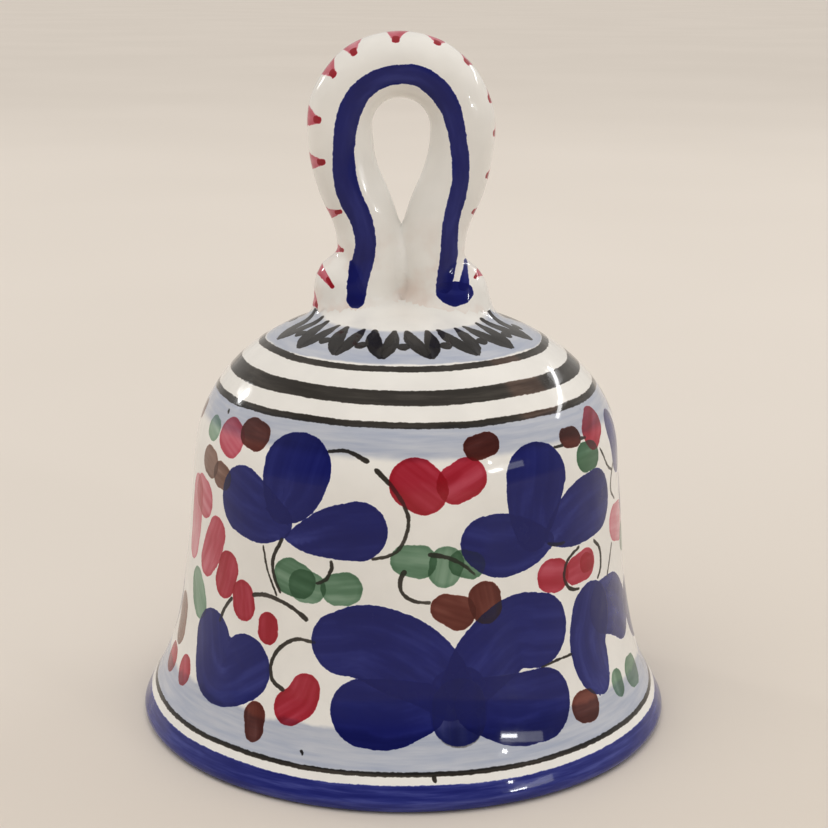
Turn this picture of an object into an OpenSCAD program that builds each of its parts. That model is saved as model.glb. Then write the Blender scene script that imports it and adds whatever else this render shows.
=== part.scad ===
// Hand-painted glazed bell with a coiled loop handle and a clapper hung on wire.
// +Z is up. The origin is the centre of the mouth, on the surface that the bell stands on.
// The handle's loop lies in the XZ plane, and the front of the bell faces -Y.

/* [Bell] */
// Widest diameter, at the foot of the lip
lip_d = 76; // [64:0.5:92]
// Height of the crown's top above the table
crown_h = 59; // [49:0.5:72]
// Diameter at the shoulder, where the crown turns into the wall
shoulder_d = 60; // [50:0.5:70]
// Height of the shoulder above the table
shoulder_h = 40; // [33:0.5:46]
// Thickness of the wall at the shoulder
wall_t = 4.5; // [3:0.1:6]
// Thickness of the crown at its centre
crown_t = 5; // [3.5:0.1:7]

/* [Lip] */
// Height of the lip's painted edge
lip_h = 3.6; // [2.8:0.1:6]
// Width of the lip, from its inner edge to its outer edge
lip_t = 5.6; // [4.5:0.1:7]
// How far the top of the lip's edge stands in from the lip's widest diameter
lip_lean = 1; // [0.4:0.1:2]
// Radius that rounds the lip's two lower edges
lip_r = 1.2; // [0.6:0.1:1.8]

/* [Handle] */
// Height of the loop above the crown's top
handle_h = 37.5; // [31:0.5:46]
// Diameter of the handle's coil of clay
coil_d = 9; // [7.5:0.1:11]
// Widest part of the gap inside the loop
gap_w = 7.7; // [6:0.1:12]
// How deep the two legs are pressed into each other where they meet
leg_press = 0.5; // [0.2:0.1:1]
// Bend radius of each foot, to the middle of the coil
foot_bend_r = 8; // [6.5:0.5:12]
// How far each foot turns outwards
foot_turn = 52; // [35:1:65]
// Height of the middle of each foot's end above the crown's top
foot_lift = 0.7; // [0:0.1:2]

/* [Hanger] */
// Diameter of the clay pad under the crown
pad_d = 15; // [12:0.5:20]
// Thickness of the pad at its centre
pad_t = 4; // [3.6:0.1:6]
// Radius that rounds the pad's lower edge
pad_edge_r = 1.2; // [0.5:0.1:2]
// Diameter of the wire of the staple and the link
hanger_wire_d = 1.4; // [1:0.1:1.8]
// Distance between the middles of the staple's legs
staple_w = 6.4; // [5.6:0.1:8]
// Distance from the pad down to the middle of the staple's bar
staple_drop = 4.2; // [3.6:0.1:6]
// Depth of the staple's legs in the pad
staple_seat = 2.8; // [2:0.1:3]
// Bend radius of the staple's corners, to the middle of the wire
staple_bend_r = 1.6; // [1.2:0.1:2]
// Inside diameter of the link
link_in_d = 4.6; // [4.4:0.1:7]

/* [Clapper] */
// Diameter of the clapper's wire
clapper_wire_d = 1.2; // [0.8:0.1:1.4]
// Inside diameter of the eye at the top of the clapper's wire
eye_in_d = 3.4; // [3.2:0.1:5]
// Diameter of the bead that strikes the wall
bead_d = 15; // [12:0.5:18]
// Height of the bead's middle above the table
bead_h = 17; // [15:0.5:22]
// Outside diameter of the collars above and below the bead
collar_d = 2.8; // [2.2:0.1:4]
// Length of each collar
collar_l = 2.2; // [1.5:0.1:3]
// Length of wire that shows below the lower collar
wire_tail = 1.2; // [0.5:0.1:2]

/* [Clearances] */
// Gap between each hanging ring and the wire that it hangs on
hang_gap = 0.15; // [0.1:0.05:0.3]
// Radial clearance of the bead on its wire
bead_fit = 0.08; // [0.02:0.01:0.1]
// Gap between the bead and each collar
collar_gap = 0.15; // [0.1:0.05:0.3]

/* [Hidden] */
$fn = 64;

// Steps in each curve of the bell's outline
curve_steps = 12;
// Slope of the wall at the shoulder and of the flare where it meets the lip, in degrees below level
shoulder_slope = 83.5;
flare_slope = 55;
// Fullness of the outline's curves: the length of each curve's end tangent as a share of its span
crown_fullness = 0.66;
shoulder_fullness = 0.47;
wall_fullness = 0.34;
flare_fullness = 0.28;
// Share of the loop's side that bows outwards, above the stretch that bows in to the legs
side_share = 0.55;
// How much prouder than the coil its joining balls stand, so that each swallows the joint it covers
ball_proud = 0.05;

lip_edge = [lip_d / 2 - lip_lean, lip_h];
lip_inner = [lip_d / 2 - lip_t, lip_r];

coil_r = coil_d / 2;
loop_r = gap_w / 2 + coil_r;
loop_z = crown_h + handle_h - coil_r - loop_r;
leg_x = coil_r - leg_press / 2;
pinch_z = crown_h + foot_lift + foot_bend_r * sin(foot_turn);
side_turn = 2 * atan((loop_r - leg_x) / (loop_z - pinch_z));
side_r = (loop_z - pinch_z) / sin(side_turn);
bow_r = side_r * side_share;
neck_r = side_r - bow_r;

hanger_wire_r = hanger_wire_d / 2;
pad_z = crown_h - crown_t - pad_t;
bar_z = pad_z - staple_drop;
link_r = link_in_d / 2 + hanger_wire_r;
link_z = bar_z + 2 * hanger_wire_r + hang_gap - link_r;

clapper_wire_r = clapper_wire_d / 2;
eye_r = eye_in_d / 2 + clapper_wire_r;
eye_hinge_z = link_z - link_r;
eye_z = eye_hinge_z + hanger_wire_r + hang_gap + clapper_wire_r - eye_r;
upper_collar_z = bead_h + bead_d / 2 + collar_gap;
lower_collar_z = bead_h - bead_d / 2 - collar_gap - collar_l;
wire_end_z = lower_collar_z - wire_tail;

// Unit step outwards and down, at an angle below level
function heading(angle) = [cos(angle), -sin(angle)];

function bezier(a, b, c, d, t) =
    pow(1 - t, 3) * a + 3 * pow(1 - t, 2) * t * b + 3 * (1 - t) * t * t * c + pow(t, 3) * d;

function curve(a, b, c, d) = [for (i = [0 : curve_steps]) bezier(a, b, c, d, i / curve_steps)];

function reversed(points) = [for (i = [len(points) - 1 : -1 : 0]) points[i]];

function without_first(points) = [for (i = [1 : len(points) - 1]) points[i]];

function arc(centre, r, from, to, steps) =
    [for (i = [0 : steps]) centre + r * [cos(from + (to - from) * i / steps),
                                         sin(from + (to - from) * i / steps)]];

// Crown, from the axis out and down to the shoulder
function crown_curve(top, r) =
    curve([0, top], [crown_fullness * r, top],
          [r, shoulder_h] - shoulder_fullness * (top - shoulder_h) * heading(shoulder_slope),
          [r, shoulder_h]);

// Wall, from the shoulder down to the lip
function wall_curve(r, end) =
    curve([r, shoulder_h], [r, shoulder_h] + wall_fullness * (shoulder_h - end[1]) * heading(shoulder_slope),
          end - flare_fullness * (shoulder_h - end[1]) * heading(flare_slope), end);

function side_curve(top, r, end) = concat(crown_curve(top, r), without_first(wall_curve(r, end)));

outer_side = side_curve(crown_h, shoulder_d / 2, lip_edge);
inner_side = side_curve(crown_h - crown_t, shoulder_d / 2 - wall_t, lip_inner);

// Ring of round wire about X, Y or Z, with its middle at a height on the bell's axis
module wire_ring(r, wire_r, z) {
    translate([0, 0, z]) rotate([90, 0, 0]) rotate_extrude() translate([r, 0]) circle(wire_r);
}

// Length of coil in the XZ plane that turns about (x, z), between two angles from +X towards +Z
module coil_arc(x, z, r, from, to) {
    translate([x, 0, z]) rotate([90, 0, 0])
        rotate_extrude(start = from, angle = to - from) translate([r, 0]) circle(coil_r);
}

// Ball that joins two lengths of coil, or rounds the end of one
module coil_ball(x, z) {
    translate([x, 0, z]) sphere(coil_r + ball_proud);
}

// Solid of the bell with its hollow filled, which the handle is cut to fit
module crown_solid() {
    rotate_extrude() polygon(concat([[0, shoulder_h]], crown_curve(crown_h, shoulder_d / 2)));
}

// Outline of the hollow inside the bell, right of the axis
module hollow_outline() {
    polygon(concat([[0, lip_r]], inner_side));
}

module bell_body() {
    color("ivory") rotate_extrude()
        polygon(concat(outer_side,
            arc([lip_d / 2 - lip_r, lip_r], lip_r, 25, -90, 6),
            arc(lip_inner + [lip_r, 0], lip_r, -90, -175, 6),
            reversed(inner_side)));
}

// One side of the handle: the side of the loop, the leg and the foot
module handle_side() {
    coil_ball(loop_r, loop_z);
    coil_arc(loop_r - bow_r, loop_z, bow_r, -side_turn, 0);
    coil_ball(loop_r - bow_r * (1 - cos(side_turn)), loop_z - bow_r * sin(side_turn));
    coil_arc(leg_x + neck_r, pinch_z, neck_r, 180 - side_turn, 180);
    coil_ball(leg_x, pinch_z);
    coil_arc(leg_x + foot_bend_r, pinch_z, foot_bend_r, 180, 180 + foot_turn);
    coil_ball(leg_x + foot_bend_r * (1 - cos(foot_turn)), pinch_z - foot_bend_r * sin(foot_turn));
}

module handle_loop() {
    color("ivory") difference() {
        union() {
            coil_arc(0, loop_z, loop_r, 0, 180);
            handle_side();
            mirror([1, 0, 0]) handle_side();
        }
        crown_solid();
    }
}

// Wire of the staple, or the two holes that its legs leave in the pad
module staple_legs(from, to) {
    for (side = [-1, 1])
        translate([0, side * staple_w / 2, from]) cylinder(h = to - from, r = hanger_wire_r);
}

module hanger_pad() {
    color("linen") difference() {
        rotate_extrude() intersection() {
            hollow_outline();
            union() {
                translate([0, pad_z]) square([pad_d / 2 - pad_edge_r, crown_h - pad_z]);
                translate([0, pad_z + pad_edge_r]) square([pad_d / 2, crown_h - pad_z]);
                translate([pad_d / 2 - pad_edge_r, pad_z + pad_edge_r]) circle(pad_edge_r);
            }
        }
        staple_legs(pad_z - 1, pad_z + staple_seat);
    }
}

module hanger_staple() {
    corner_y = staple_w / 2 - staple_bend_r;
    color("dimgray") {
        staple_legs(bar_z + staple_bend_r, pad_z + staple_seat);
        translate([0, corner_y, bar_z]) rotate([90, 0, 0]) cylinder(h = 2 * corner_y, r = hanger_wire_r);
        for (turn = [0, 180])
            rotate([0, 0, turn]) translate([0, corner_y, bar_z + staple_bend_r]) rotate([90, 0, 90])
                rotate_extrude(start = -90, angle = 90) translate([staple_bend_r, 0]) circle(hanger_wire_r);
    }
}

module link_ring() {
    color("dimgray") wire_ring(link_r, hanger_wire_r, link_z);
}

module clapper_wire() {
    color("darkgray") {
        rotate([0, 0, 90]) wire_ring(eye_r, clapper_wire_r, eye_z);
        translate([0, 0, wire_end_z]) cylinder(h = eye_z - eye_r - wire_end_z, r = clapper_wire_r);
    }
}

module collar(z) {
    translate([0, 0, z]) difference() {
        cylinder(h = collar_l, r = collar_d / 2);
        translate([0, 0, -1]) cylinder(h = collar_l + 2, r = clapper_wire_r);
    }
}

module upper_collar() {
    color("darkgray") collar(upper_collar_z);
}

module lower_collar() {
    color("darkgray") collar(lower_collar_z);
}

module clapper_bead() {
    color("ivory") translate([0, 0, bead_h]) difference() {
        sphere(bead_d / 2);
        cylinder(h = bead_d + 2, r = clapper_wire_r + bead_fit, center = true);
    }
}

bell_body();
handle_loop();
hanger_pad();
hanger_staple();
link_ring();
clapper_wire();
upper_collar();
lower_collar();
clapper_bead();
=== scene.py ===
"""Hand-painted glazed bell: its glazed skin, brushwork and light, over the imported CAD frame.

Lengths are in millimetres until a mesh is made. Azimuth is in degrees from the front (-Y) and grows to the right.
"""

import math

import bpy
import numpy as np
from mathutils import Matrix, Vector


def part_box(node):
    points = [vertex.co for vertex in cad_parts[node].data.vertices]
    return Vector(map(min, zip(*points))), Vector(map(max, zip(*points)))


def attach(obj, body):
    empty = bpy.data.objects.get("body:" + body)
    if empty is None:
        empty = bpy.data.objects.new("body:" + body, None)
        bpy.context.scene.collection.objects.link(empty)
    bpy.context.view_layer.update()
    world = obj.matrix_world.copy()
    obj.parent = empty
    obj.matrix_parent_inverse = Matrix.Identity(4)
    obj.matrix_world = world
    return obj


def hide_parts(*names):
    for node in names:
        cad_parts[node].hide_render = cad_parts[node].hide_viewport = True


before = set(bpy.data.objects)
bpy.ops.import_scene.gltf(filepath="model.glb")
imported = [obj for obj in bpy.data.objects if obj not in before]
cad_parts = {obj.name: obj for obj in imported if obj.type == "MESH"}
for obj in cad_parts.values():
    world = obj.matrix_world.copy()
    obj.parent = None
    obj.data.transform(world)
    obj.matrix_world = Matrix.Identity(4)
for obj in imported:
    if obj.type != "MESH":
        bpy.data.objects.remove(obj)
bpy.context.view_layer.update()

MM = 0.001
body_box, handle_box, pad_box, bead_box = (
    [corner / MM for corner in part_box(name)]
    for name in ("bell_body", "handle_loop", "hanger_pad", "clapper_bead")
)

# Outline of the bell, as in the CAD
LIP_R = body_box[1].x
CROWN_Z = body_box[1].z
CEILING_Z = pad_box[1].z
SHOULDER_R, SHOULDER_Z, WALL_T = 30.0, 40.0, 4.5
LIP_H, LIP_LEAN, LIP_T, LIP_ROUND = 3.6, 1.0, 5.6, 1.2
SHOULDER_SLOPE, FLARE_SLOPE = 83.5, 55.0
CROWN_FULL, SHOULDER_FULL, WALL_FULL, FLARE_FULL = 0.66, 0.47, 0.34, 0.28

# Centre line of the handle's coil, as in the CAD
COIL_R = handle_box[1].y
GAP_W, LEG_PRESS, FOOT_BEND, FOOT_TURN, FOOT_LIFT, BOW_SHARE = 7.7, 0.5, 8.0, 52.0, 0.7, 0.55
LOOP_R = GAP_W / 2 + COIL_R
LOOP_Z = handle_box[1].z - COIL_R - LOOP_R
LEG_X = COIL_R - LEG_PRESS / 2
PINCH_Z = CROWN_Z + FOOT_LIFT + FOOT_BEND * math.sin(math.radians(FOOT_TURN))
SIDE_TURN = 2 * math.atan((LOOP_R - LEG_X) / (LOOP_Z - PINCH_Z))
SIDE_R = (LOOP_Z - PINCH_Z) / math.sin(SIDE_TURN)
BOW_R, NECK_R = SIDE_R * BOW_SHARE, SIDE_R * (1 - BOW_SHARE)

LEAN = 0.0055  # how far the thrown body leans to the right, per unit of height
HANDLE_LEAN = 0.009  # how far the handle above it leans to the left
LEAN_TURNS = (46, 63)  # heights between which one lean gives way to the other

COLUMNS = 440  # round the bell
ROW_STEP = 0.5  # along the bell's outline
LAST_GAP = 1.2  # from the last ring of the hollow to the ceiling's centre
COIL_COLUMNS = 96  # round the coil
COIL_STEP = 0.32  # along the coil

# Colour of one good coat of each pigment on the white glaze, in linear light
WHITE = (0.835, 0.815, 0.775)
WASH = (0.38, 0.42, 0.525)
BARE_CLAY = (0.50, 0.30, 0.19)
PIGMENTS = {
    "cobalt": (0.005, 0.007, 0.100),
    "red": (0.33, 0.014, 0.028),
    "maroon": (0.10, 0.019, 0.013),
    "umber": (0.16, 0.075, 0.052),
    "green": (0.050, 0.125, 0.065),
    "ink": (0.026, 0.022, 0.018),
    "smoke": (0.30, 0.27, 0.24),
}
DENSEST = 7.2  # the absorbance, red, green and blue taken together, that a thick coat levels off at


# ---------------------------------------------------------------- outlines


def heading(angle):
    """Unit step outwards and down, at an angle below level."""
    return np.array([math.cos(math.radians(angle)), -math.sin(math.radians(angle))])


def bezier(a, b, c, d, steps=60):
    a, b, c, d = (np.asarray(p, float) for p in (a, b, c, d))
    t = np.linspace(0, 1, steps)[:, None]
    return (1 - t) ** 3 * a + 3 * (1 - t) ** 2 * t * b + 3 * (1 - t) * t**2 * c + t**3 * d


def turn_about(centre, r, start, end, steps=14):
    a = np.radians(np.linspace(start, end, steps))
    return np.stack([centre[0] + r * np.cos(a), centre[1] + r * np.sin(a)], 1)


def side_curve(top, r, end):
    """One skin of the bell, from the axis over the crown and down the wall to its end at the lip."""
    shoulder, end = np.array([r, SHOULDER_Z]), np.asarray(end, float)
    crown = bezier(
        [0, top], [CROWN_FULL * r, top],
        shoulder - SHOULDER_FULL * (top - SHOULDER_Z) * heading(SHOULDER_SLOPE), shoulder,
    )
    wall = bezier(
        shoulder, shoulder + WALL_FULL * (SHOULDER_Z - end[1]) * heading(SHOULDER_SLOPE),
        end - FLARE_FULL * (SHOULDER_Z - end[1]) * heading(FLARE_SLOPE), end,
    )
    return np.vstack([crown, wall[1:]])


def arc_lengths(points):
    return np.r_[0, np.cumsum(np.hypot(*np.diff(points, axis=0).T))]


OUTER = np.vstack([
    side_curve(CROWN_Z, SHOULDER_R, (LIP_R - LIP_LEAN, LIP_H)),
    turn_about((LIP_R - LIP_ROUND, LIP_ROUND), LIP_ROUND, 25, -90),
])
FOOT = np.array([OUTER[-1], [LIP_R - LIP_T + LIP_ROUND, 0]])
INNER = np.vstack([
    turn_about((LIP_R - LIP_T + LIP_ROUND, LIP_ROUND), LIP_ROUND, -90, -175),
    side_curve(CEILING_Z, SHOULDER_R - WALL_T, (LIP_R - LIP_T, LIP_ROUND))[::-1],
])
OUTER_S = arc_lengths(OUTER)


def radius_at(z):
    """Outer radius of the bell at a height."""
    return np.interp(-np.asarray(z, float), -OUTER[:, 1], OUTER[:, 0])


def along_at(z):
    """Length along the outline, from the crown's centre, of the place at a height."""
    return np.interp(-np.asarray(z, float), -OUTER[:, 1], OUTER_S)


def crown_height(r):
    return np.interp(r, OUTER[:60, 0], OUTER[:60, 1])


# ---------------------------------------------------------------- distances


def smooth_min(a, b, k):
    k = np.maximum(k, 1e-6)
    h = np.maximum(k - np.abs(a - b), 0) / k
    return np.minimum(a, b) - h * h * k / 4


def smooth_step(lo, hi, v):
    t = np.clip((v - lo) / (hi - lo), 0, 1)
    return t * t * (3 - 2 * t)


# Arcs of the right half of the coil, from the top down: centre x and z, radius, first and last angle in degrees
COIL_ARCS = [
    (0, LOOP_Z, LOOP_R, 90, 0),
    (LOOP_R - BOW_R, LOOP_Z, BOW_R, 0, -math.degrees(SIDE_TURN)),
    (LEG_X + NECK_R, PINCH_Z, NECK_R, 180 - math.degrees(SIDE_TURN), 180),
    (LEG_X + FOOT_BEND, PINCH_Z, FOOT_BEND, 180, 180 + FOOT_TURN),
]


def half_coil_distance(p):
    """Distance from points to the surface of the coil's right half."""
    best = np.full(len(p), 1e9)
    for x, z, r, start, end in COIL_ARCS:
        middle, reach = math.radians((start + end) / 2), math.radians(abs(end - start) / 2)
        a = np.arctan2(p[:, 2] - z, p[:, 0] - x) - middle
        a = np.clip((a + math.pi) % (2 * math.pi) - math.pi, -reach, reach) + middle
        gap = np.hypot(p[:, 0] - x - r * np.cos(a), p[:, 2] - z - r * np.sin(a))
        best = np.minimum(best, np.hypot(gap, p[:, 1]))
    return best - COIL_R


def hand_wobble(p):
    """Gentle unevenness of pressed clay, between about -1 and 1."""
    x, y, z = p.T
    return (
        0.45 * np.sin(0.31 * x + 0.23 * z + 0.9) * np.cos(0.27 * y - 0.19 * z)
        + 0.3 * np.sin(0.62 * z + 0.35 * x + 2.1)
        + 0.25 * np.sin(0.9 * x - 0.7 * z + 0.5 * y)
    )


FILLET = 4.0  # how wide the glaze rounds the feet into the crown
OVERLAP = 0.6  # how far each skin turns under past the line where they meet
# Lumps where each foot was pressed down: x, z and radius
TOES = [(-7.9, 61.7, 4.4), (7.6, 60.9, 4.35)]


def clay_distance(p):
    """Distance to the pressed coil: two legs joined down a seam, with a lump at each foot."""
    mirrored = p * [-1, 1, 1]
    seam = (0.5 + 1.8 * smooth_step(70.0, 64.0, p[:, 2])) * smooth_step(73.0, 70.5, p[:, 2])
    legs = smooth_min(half_coil_distance(p), half_coil_distance(mirrored), seam)
    ridge = 0.28 * np.exp(-((p[:, 0] / 0.55) ** 2)) * smooth_step(60, 62, p[:, 2]) * smooth_step(72, 69, p[:, 2])
    for x, z, r in TOES:
        toe = np.sqrt((p[:, 0] - x) ** 2 + p[:, 1] ** 2 + (p[:, 2] - z) ** 2) - r
        legs = smooth_min(legs, toe, 1.5)
    return legs - ridge - 0.11 * hand_wobble(p) + 0.1


def crown_distance(p):
    return (p[:, 2] - crown_height(np.hypot(p[:, 0], p[:, 1]))) * 0.99


def glaze_distance(p):
    """Distance to the fired surface, where glaze rounds the feet into the crown."""
    return smooth_min(clay_distance(p), crown_distance(p), FILLET)


def coil_side(p):
    """The coil's share of the fired surface, which turns under a little past the line where it meets the crown's."""
    clay, crown = clay_distance(p), crown_distance(p)
    return np.maximum(smooth_min(clay, crown, FILLET), clay - crown - OVERLAP)


def crown_side(p):
    """The crown's share, a hair under the coil's."""
    clay, crown = clay_distance(p), crown_distance(p)
    return np.maximum(smooth_min(clay, crown, FILLET) + 0.03, crown - clay - OVERLAP)


def gradient(f, p, e=0.02):
    g = np.stack([f(p + e * np.eye(3)[i]) - f(p - e * np.eye(3)[i]) for i in range(3)], 1)
    return g / np.linalg.norm(g, axis=1)[:, None]


SEARCH_END, SEARCH_STEPS, HALVINGS = 8.5, 24, 14
RAY_START, RAY_END = 3.2, 8.4  # where the coil's skin is looked for, from its centre line
# The crown's skin may rise within this radius and above this height, and by this much, to meet the handle's feet
FEET_REACH, FEET_BASE, FEET_RISE = 17, 50, 3.4


def first_crossing(f, start, step, near, far, missed):
    """Length along each ray at which f first turns positive, or missed where it doesn't before far."""
    far = np.broadcast_to(far, (len(start),)).astype(float)
    lengths, found = np.full(len(start), float(missed)), np.zeros(len(start), bool)
    lo = np.full(len(start), float(near))
    for _ in range(SEARCH_STEPS):
        hi = lo + (SEARCH_END - near) / SEARCH_STEPS
        crosses = (~found) & (f(start + step * hi[:, None]) > 0) & (lo < far)
        if crosses.any():
            a, b = lo[crosses], hi[crosses]
            s, d = start[crosses], step[crosses]
            for _ in range(HALVINGS):
                m = (a + b) / 2
                outside = f(s + d * m[:, None]) > 0
                a, b = np.where(outside, a, m), np.where(outside, m, b)
            lengths[crosses] = (a + b) / 2
            found |= crosses
        lo = hi
    found &= lengths <= far
    return lengths, found


# ---------------------------------------------------------------- brushwork


class Brushwork:
    """Brush strokes on a surface whose points have flat coordinates in millimetres. Strokes that lie close
    go in different layers, so each layer's data blends evenly between vertices."""

    CLAIM = 1.3  # how far outside a stroke its data reaches
    SOLID = 0.8  # how far outside a stroke its pigment is still switched on

    def __init__(self, count):
        self.count = count
        self.layers = []

    def new_layer(self):
        shape = np.zeros((self.count, 4), np.float32)
        shape[:, 3] = 3.0
        layer = {"taken": np.zeros(self.count, bool), "shape": shape,
                 "colour": np.zeros((self.count, 4), np.float32)}
        self.layers.append(layer)
        return layer

    def stroke(self, points, nodes, pigment, load, seed, usable=None):
        """points: flat coordinates of all vertices. nodes: (x, y, half width) along the stroke."""
        line = smooth_line(np.asarray(nodes, float))
        reach = line[:, 2].max() + self.CLAIM + 0.2
        near = np.all((points > line[:, :2].min(0) - reach) & (points < line[:, :2].max(0) + reach), axis=1)
        if usable is not None:
            near &= usable
        index = np.nonzero(near)[0]
        if not len(index):
            return
        d, u, t, w, over = stroke_field(points[index], line)
        keep = d < self.CLAIM
        index, u, t, w, over, d = index[keep], u[keep], t[keep], w[keep], over[keep], d[keep]
        free = [layer for layer in self.layers if not layer["taken"][index].any()]
        layer = free[0] if free else self.new_layer()
        layer["taken"][index] = True
        layer["shape"][index] = np.stack([u, t + 31.0 * seed, w, over], 1)
        layer["colour"][index, :3] = absorbance(pigment)
        thinned = load * (0.45 + 0.55 * np.clip(w / line[:, 2].max(), 0, 1))
        layer["colour"][index, 3] = np.where(d < self.SOLID, thinned, 0)

    def store(self, mesh):
        for k, layer in enumerate(self.layers):
            for name in ("shape", "colour"):
                float_colour(mesh, f"{name}_{k}", layer[name])


def absorbance(pigment):
    """How strongly one coat absorbs red, green and blue, before it levels off."""
    a = -np.log(np.array(PIGMENTS[pigment]) / np.array(WHITE))
    size = np.linalg.norm(a)
    return a / size * -DENSEST * np.log(1 - min(size, DENSEST - 0.4) / DENSEST)


def smooth_line(nodes):
    """A fine line through the nodes, curved where there are three or more."""
    if len(nodes) == 1:
        nodes = np.vstack([nodes, nodes + [0.01, 0, 0]])
    if len(nodes) == 2:
        return nodes
    ends = np.vstack([2 * nodes[0] - nodes[1], nodes, 2 * nodes[-1] - nodes[-2]])
    out = []
    for a, b, c, d in zip(ends[:-3], ends[1:-2], ends[2:-1], ends[3:]):
        steps = max(2, int(np.hypot(*(c - b)[:2]) / 0.6))
        t = (np.arange(steps) / steps)[:, None]
        out.append(0.5 * (2 * b + (c - a) * t + (2 * a - 5 * b + 4 * c - d) * t**2 + (3 * b - a - 3 * c + d) * t**3))
    line = np.vstack(out + [nodes[-1:]])
    line[:, 2] = np.maximum(line[:, 2], 0.12)
    return line


def stroke_field(p, line):
    """Distance outside the stroke, offset to its side, length along it, half width, and reach past its ends."""
    best = np.full(len(p), 1e9)
    u, t, w, over = (np.zeros(len(p)) for _ in range(4))
    begun = 0.0
    for k, (a, b) in enumerate(zip(line[:-1], line[1:])):
        step = b[:2] - a[:2]
        length = max(float(np.hypot(*step)), 1e-6)
        step = step / length
        q = p - a[:2]
        along, side = q @ step, q @ [-step[1], step[0]]
        held = np.clip(along, 0, length)
        past = np.abs(along - held)
        width = a[2] + (b[2] - a[2]) * held / length
        d = np.hypot(side, past) - width
        painted_shade = d < best
        inner_joint = ((along < 0) & (k > 0)) | ((along > length) & (k < len(line) - 2))
        off = np.where(inner_joint, np.hypot(side, past) * np.where(side < 0, -1, 1), side)
        past = np.where(inner_joint, 0, past)
        best = np.where(painted_shade, d, best)
        u, w = np.where(painted_shade, off, u), np.where(painted_shade, width, w)
        over = np.where(painted_shade, past, over)
        t = np.where(painted_shade, begun + held, t)
        begun += length
    return best, u, t, w, over


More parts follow.
